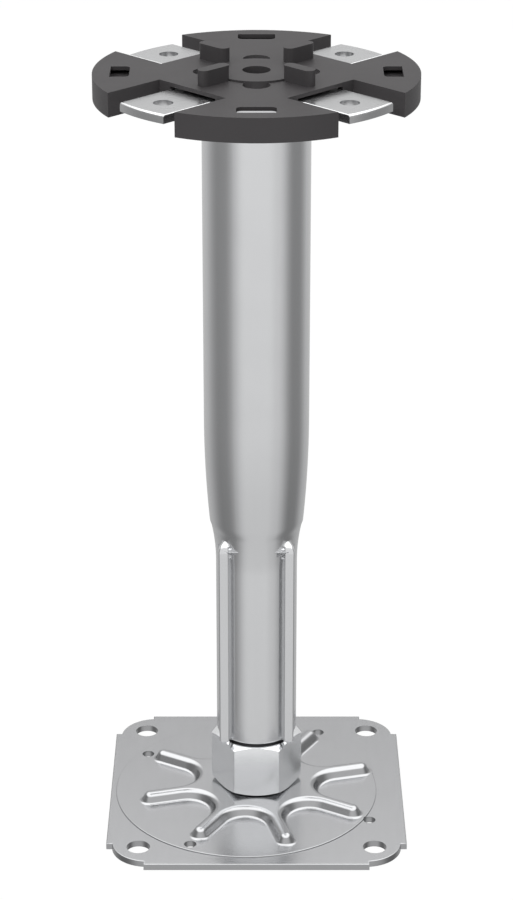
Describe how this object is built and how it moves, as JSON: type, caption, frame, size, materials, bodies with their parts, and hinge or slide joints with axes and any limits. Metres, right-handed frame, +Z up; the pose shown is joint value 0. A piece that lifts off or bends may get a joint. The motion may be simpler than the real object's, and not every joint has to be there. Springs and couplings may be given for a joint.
{
  "type": "raised floor pedestal",
  "caption": "Adjustable raised floor pedestal: square pressed base plate, levelling nut on a stud, necked steel column and cross head with a moulded gasket.",
  "frame": {"origin": "bottom centre of the base plate, on the floor", "axes": "+Z up along the stud and column; X and Y parallel to the sides of the base plate, -Y the side seen from the front"},
  "size_m": [0.0912, 0.0912, 0.2345],
  "materials": {
    "pressed_sheet": "galvanised, satin",
    "stud_steel": "zinc-plated, rolled thread",
    "nut_steel": "zinc-plated",
    "tube_steel": "galvanised, satin",
    "weld_steel": "zinc-plated weld bead",
    "head_steel": "zinc-plated, satin",
    "gasket_plastic": "matte moulded"
  },
  "bodies": {
    "base": {"base_plate": "pressed_sheet", "stud": "stud_steel"},
    "column": {"column_tube": "tube_steel", "head_weld": "weld_steel", "head_plate": "head_steel", "head_gasket": "gasket_plastic"},
    "nut": {"levelling_nut": "nut_steel"}
  },
  "joints": [
    {"name": "column_lift", "type": "slide", "parent": "base", "child": "column", "axis": [0, 0, 1], "range_m": [0, 0.05]},
    {"name": "nut_turn", "type": "hinge", "parent": "column", "child": "nut", "pos_m": [0, 0, 0.014], "axis": [0, 0, 1], "range_deg": [0, 9000]}
  ],
  "couplings": [
    {"joint": "nut_turn", "follows": "column_lift", "rad_per_m": 3141.6}
  ]
}
